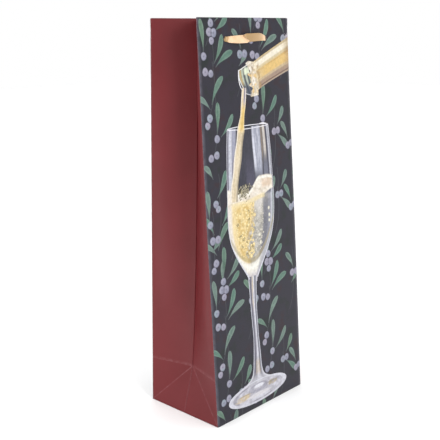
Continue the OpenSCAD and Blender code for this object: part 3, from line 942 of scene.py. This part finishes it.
step = 1.0
gusset_us = np.arange(0, gusset_half + 0.1, step)
gusset_ss = np.concatenate([
    np.arange(0, gusset_half + 0.1, step), np.linspace(gusset_half, gusset_fold, 110)[1:],
    np.linspace(gusset_fold, gusset_fold + pi * gusset_fold_r, 7)[1:],
    np.linspace(gusset_fold + pi * gusset_fold_r, gusset_fold + pi * gusset_fold_r + turned_in, 12)[1:],
])
across, up, faces = gusset_flat(gusset_us, gusset_ss)
gusset_turned = gusset_fold + pi * gusset_fold_r
narrowed = across + 6.5 * (1 - across / gusset_half) * smooth(up, gusset_fold, gusset_turned)
crease_lines = np.max([
    0.26 * band(across - up, 0, 0.0, 1.1) * (up < gusset_half),
    0.20 * band(up, gusset_half, 0.0, 1.1),
    0.16 * band(across, gusset_half, 0.0, 1.1) * (up < gusset_half),
    0.10 * band(across, 0, 0.1, 0.6),
], 0)
for hand in ("left", "right"):
    for which in ("front", "back"):
        flipped = (hand == "left") == (which == "front")
        turned = [f[::-1] for f in faces] if flipped else faces
        half = make_mesh(
            f"{hand}_gusset_{which}_half", gusset_point(hand, which, narrowed, up), turned,
            [red_paper, bare_paper, worn_fold],
        )
        mark = half.data.attributes.new("crease", "FLOAT", "POINT")
        mark.data.foreach_set("value", crease_lines.astype(np.float32))
        give_thickness(half, 0.3, rim=0)
        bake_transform(half)
        names = [f"{hand}_gusset_{which}", f"{hand}_turn_in_{which}"]
        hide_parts(*names + ([f"{hand}_gusset_base"] if which == "front" else []))

# ---------------------------------------------------------------------------------------------
# Seam lap, base flaps and boards.
# The lap glues the tube closed inside the back wall. The base is folded from four flaps, and a
# loose greyboard lies on it; greyboard strips stiffen the mouth under the turn-ins.

lap_us, lap_ss = np.linspace(1.5, 16.5, 7), np.linspace(3, 323, 60)
uu, vv = np.meshgrid(lap_us, lap_ss)
lap = make_mesh(
    "seam_lap_sheet", wall_point("back", uu, vv, p_extra=0.4), grid_faces(*uu.shape), [red_paper, bare_paper]
)
give_thickness(lap, 0.3)
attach(lap, "back_wall")
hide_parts("seam_lap")

# Solid greyboard from recycled fibre: dull warm grey, with darker and lighter flecks.
greyboard, tree, shader = new_material("recycled greyboard", 0.92, Specular_IOR_Level=0.2)
place = film_finish(tree, shader, 0.6, 0.8)
fibre = node(tree, "ShaderNodeTexNoise", Vector=place, Scale=420.0, Detail=6.0, Roughness=0.7)
tint = ramp(tree, fibre.outputs["Fac"], (0.34, "#7d756b"), (0.66, "#aaa298"))
tree.links.new(tint.outputs["Color"], shader.inputs["Base Color"])

board_thick = 1.16
inner_us = sheet_us[(sheet_us > 10) & (sheet_us < wide - 10)]
board_us = np.concatenate([[2.5, 8], inner_us, [wide - 8, wide - 2.5]])
board_ss = np.concatenate([[327.6, 331], hole_q + np.array([-6, -3, 0, 3, 6.0]), [352, 356, 358.6]])
flat, board_faces = punched_sheet(board_us, board_ss, [(u, hole_q) for u in hole_u], hole_r)
for which in ("front", "back"):
    board = make_mesh(
        f"{which}_stiffener", wall_point(which, flat[:, 0], flat[:, 1], p_extra=0.42), board_faces,
        [greyboard, greyboard],
    )
    give_thickness(board, board_thick)
    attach(board, body_of[which])
    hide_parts(f"{which}_board")

for name, finish in [
    ("front_bottom_flap", printed_paper), ("back_bottom_flap", printed_paper),
    ("left_dust_flap", bare_paper), ("right_dust_flap", bare_paper), ("base_board", greyboard),
]:
    flap = bpy.data.objects[name]
    flap.data.materials.clear()
    flap.data.materials.append(finish)

# ---------------------------------------------------------------------------------------------
# Ribbon handles.
# Flat single-face satin ribbon, gold: pulled tight across the outside for packing, gathered
# through the two holes, and left hanging inside, where a knot stops each end.

ribbon_w = 7.4
ribbon_t = 0.5
knot_drop = 139.5


def unit(v):
    return v / np.maximum(np.linalg.norm(v, axis=-1, keepdims=True), 1e-9)


def ribbon_stations(which):
    """Stations along a ribbon from knot to knot: centre, width direction, width, thickness and
    how much tan is laid on: the reverse side where the ribbon curls into its holes, and painted
    shade over the band right of its fold, the half turned from the light. Each tail hangs plumb,
    turns flat into its hole, is gathered there, and the band between the holes bows out with a
    fold a little left of its middle."""
    side = side_of[which]
    left, right = hole_u
    fold_u = 57.6 if which == "front" else 63.0
    rows = []

    def tail(u, going_down):
        inside = wall_point(which, u, hole_q, p_extra=fold_r * 2 + 0.75)
        down = np.array([0, 0, -1.0])
        drops = [5.5, 12, 30, 55, 80, 105, 125, 134, knot_drop]
        part = []
        for drop in drops:
            sway = 0.8 * np.sin(drop / 31 + u) * smooth(drop, 10, 60)
            settle = 0.6 * smooth(drop, 3, 12) + 0.4 * smooth(drop, 60, 139)
            centre = inside + down * drop + np.array([sway, -side * settle, 0])
            twist = radians(14) * np.sin(drop / 45 + u)
            across = np.array([np.cos(twist), np.sin(twist), 0])
            near_knot = drop >= 130
            gather = ribbon_w * 0.45 if near_knot else ribbon_w
            thick = 1.6 if near_knot else ribbon_t
            part.append((centre, -side * across, min(gather, 5.6 + drop * 0.3), thick, 0.0))
        return part if going_down else part[::-1]

    def at(u, q, p):
        return wall_point(which, u, q) + wall_normal * -p

    wall_normal = np.array([0, side * np.cos(lean[which]), side * np.sin(lean[which])])
    up = np.array([0, -side * np.sin(lean[which]), np.cos(lean[which])])
    along = np.array([-side * 1.0, 0, 0])
    rows += tail(left, False)
    rows += [
        (at(left, hole_q - 1.6, 2.75), along, 4.6, 1.2, 0),
        (at(left, hole_q - 0.3, 1.9), unit(along + 0.6 * up), 4.2, 1.5, 0),
        (at(left, hole_q, 1.0), unit(0.4 * along + up), 4.1, 1.6, 0.5),
        (at(left + 0.3, hole_q, 0.1), up, 4.3, 1.3, 0.9),
        (at(left + 1.5, hole_q - 0.1, -0.75), up, 4.6, 1.0, 0.8),
        (at(left + 3.4, hole_q - 0.3, -1.15), unit(up + 0.10 * wall_normal), 5.2, 0.6, 0.0),
        (at(left + 7.5, hole_q - 0.3, -1.7), unit(up - 0.30 * wall_normal), 6.3, ribbon_t, 0.0),
        (at(left + 14, hole_q - 0.2, -2.5), unit(up - 0.36 * wall_normal), 7.2, ribbon_t, 0.0),
        (at(fold_u - 1.2, hole_q + 0.1, -3.2), unit(up - 0.34 * wall_normal), 7.4, ribbon_t, 0.0),
        # From the fold rightwards the tan is painted shade on the facet turned from the light.
        (at(fold_u, hole_q + 0.45, -3.3), unit(up - 0.05 * wall_normal), 7.9, ribbon_t, 0.5),
        (at(fold_u + 1.2, hole_q + 0.8, -3.25), unit(up + 0.22 * wall_normal), 7.8, ribbon_t, 1.0),
        (at(66, hole_q + 1.1, -2.9), unit(up + 0.28 * wall_normal), 7.4, ribbon_t, 1.0),
        (at(76, hole_q + 1.4, -2.1), unit(up + 0.22 * wall_normal), 7.0, ribbon_t, 0.85),
        (at(right - 6.5, hole_q + 1.2, -1.5), unit(up + 0.08 * wall_normal), 6.2, ribbon_t, 0.6),
        (at(right - 3.0, hole_q + 0.7, -1.1), up, 5.2, 0.7, 0.25),
        (at(right - 1.2, hole_q + 0.3, -0.75), up, 4.6, 1.0, 0.0),
        (at(right - 0.2, hole_q, 0.1), up, 4.3, 1.3, 0.4),
        (at(right, hole_q, 1.0), unit(0.4 * along + up), 4.1, 1.6, 0.9),
        (at(right, hole_q - 0.3, 1.9), unit(along + 0.6 * up), 4.2, 1.5, 0.5),
        (at(right, hole_q - 1.6, 2.75), along, 4.6, 1.2, 0),
    ]
    rows += tail(right, True)
    return rows


def catmull(values, per_span):
    """A smooth curve through rows of values, as the cubic that meets each with the slope between
    its neighbours."""
    values = np.asarray(values, float)
    padded = np.concatenate([2 * values[:1] - values[1:2], values, 2 * values[-1:] - values[-2:-1]])
    t = np.linspace(0, 1, per_span, endpoint=False)[:, None]
    spans = []
    for k in range(len(values) - 1):
        a, b, c, d = padded[k : k + 4]
        spans.append(
            0.5 * (2 * b + (c - a) * t + (2 * a - 5 * b + 4 * c - d) * t**2 + (3 * b - a - 3 * c + d) * t**3)
        )
    return np.concatenate(spans + [values[-1:]])


def tube(centres, normals, widths, heights, around):
    """A closed strap: at each station an oval whose cosine and sine are raised to 0.55, widths wide along
    normals and heights thick, with its ends closed by a point each."""
    ahead = unit(np.gradient(centres, axis=0))
    thick = unit(np.cross(ahead, normals))
    broad = np.cross(thick, ahead)
    a = np.linspace(0, 2 * pi, around, endpoint=False)
    x, y = np.sign(np.cos(a)) * abs(np.cos(a)) ** 0.55, np.sign(np.sin(a)) * abs(np.sin(a)) ** 0.55
    rings = centres[:, None] + broad[:, None] * (widths[:, None] / 2 * x)[..., None]
    rings = rings + thick[:, None] * (heights[:, None] / 2 * y)[..., None]
    rows = len(centres)
    i, j = np.meshgrid(np.arange(rows - 1), np.arange(around), indexing="ij")
    k, n = (i * around + j).ravel(), (i * around + (j + 1) % around).ravel()
    faces = np.stack([k, n, n + around, k + around], -1).tolist()
    tips = np.stack([centres[0], centres[-1]])
    points = np.concatenate([rings.reshape(-1, 3), tips])
    last = (rows - 1) * around
    for j in range(around):
        faces.append([rows * around, (j + 1) % around, j])
        faces.append([rows * around + 1, last + j, last + (j + 1) % around])
    return points, faces


def knot_tube(centre, side):
    """A pulled-tight overhand knot: the trefoil (sin t + 2 sin 2t, -sin 3t, cos t - 2 cos 2t),
    squeezed to 8 mm, wound with the ribbon as a soft flat tube."""
    t = np.linspace(0, 2 * pi, 73)
    curve = np.stack([
        0.95 * (np.sin(t) + 2 * np.sin(2 * t)), 0.75 * (-np.sin(3 * t)), 0.95 * (np.cos(t) - 2 * np.cos(2 * t))
    ], -1)
    centres = centre + curve
    normals = unit(np.cross(np.gradient(curve, axis=0), curve + 1e-3))
    return tube(centres, normals, np.full(len(t), 3.2), np.full(len(t), 1.6), 12)


# Single-face satin: long floating threads, lengthwise, that shine; the reverse is a duller, deeper tan,
# which is also painted as shade over the band's half turned from the light. The threads are 0.12 mm
# apart, drawn at 0.35 mm so that they show.
satin, tree, shader = new_material(
    "gold satin ribbon", 0.34, Specular_IOR_Level=0.6, Sheen_Weight=0.35, Sheen_Roughness=0.4
)
along_at = node(tree, "ShaderNodeAttribute", {"attribute_name": "weave"})
reverse_and_shade_at = node(tree, "ShaderNodeAttribute", {"attribute_name": "reverse_and_shade"})
threads = node(
    tree, "ShaderNodeTexWave", {"wave_type": "BANDS", "bands_direction": "X"},
    Vector=along_at.outputs["Vector"], Scale=1000 / 0.35 / (2 * pi) , Distortion=0.6, Detail=2.0,
)
long_noise = node(tree, "ShaderNodeTexNoise", Vector=along_at.outputs["Vector"], Scale=180.0, Detail=3.0)
bright = ramp(tree, long_noise.outputs["Fac"], (0.35, "#dfb68c"), (0.65, "#e8c8a4"))
# Tan by the mask: the reverse side, and painted shade over the band right of its fold.
ribbon_tint = node(
    tree, "ShaderNodeMix", {"data_type": "RGBA"},
    _0=reverse_and_shade_at.outputs["Fac"], _6=bright.outputs["Color"], _7=rgba("#a17f4c"),
)
tree.links.new(ribbon_tint.outputs[2], shader.inputs["Base Color"])
bump = node(tree, "ShaderNodeBump", Strength=0.25, Distance=0.0001, Height=threads.outputs["Fac"])
tree.links.new(bump.outputs["Normal"], shader.inputs["Normal"])

for which in ("front", "back"):
    stations = ribbon_stations(which)
    numbers = np.array([[*c, *n, wdt, thk, reverse_and_shade] for c, n, wdt, thk, reverse_and_shade in stations])
    run = catmull(numbers, 7)
    centres, normals = run[:, :3], unit(run[:, 3:6])
    body_points, body_faces = tube(centres, normals, run[:, 6], np.clip(run[:, 7], 0.4, 2), 20)
    points, faces = [body_points], list(body_faces)
    length = np.concatenate([[0], np.cumsum(np.linalg.norm(np.diff(centres, axis=0), axis=1))])
    across_mm = np.tile(np.cos(np.linspace(0, 2 * pi, 20, endpoint=False)), len(centres)) * ribbon_w / 2
    weave = [np.stack([across_mm, np.repeat(length, 20), np.zeros(len(across_mm))], -1), np.zeros((2, 3))]
    reverse_and_shade = [np.repeat(np.clip(run[:, 8], 0, 1), 20), np.zeros(2)]
    first = len(body_points)
    for end in (centres[0], centres[-1]):
        knot_points, knot_faces = knot_tube(end + np.array([0, 0, -0.2]), side_of[which])
        points.append(knot_points)
        faces += [[k + first for k in f] for f in knot_faces]
        first += len(knot_points)
        weave.append(knot_points * 1.0)
        reverse_and_shade.append(np.full(len(knot_points), 0.15))
    ribbon = make_mesh(f"{which}_ribbon_handle", np.concatenate(points), faces, [satin])
    mark = ribbon.data.attributes.new("weave", "FLOAT_VECTOR", "POINT")
    mark.data.foreach_set("vector", (np.concatenate(weave) * MM).astype(np.float32).ravel())
    mark = ribbon.data.attributes.new("reverse_and_shade", "FLOAT", "POINT")
    mark.data.foreach_set("value", np.concatenate(reverse_and_shade).astype(np.float32))
    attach(ribbon, body_of[which])
    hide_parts(f"{which}_ribbon", f"{which}_left_knot", f"{which}_right_knot")
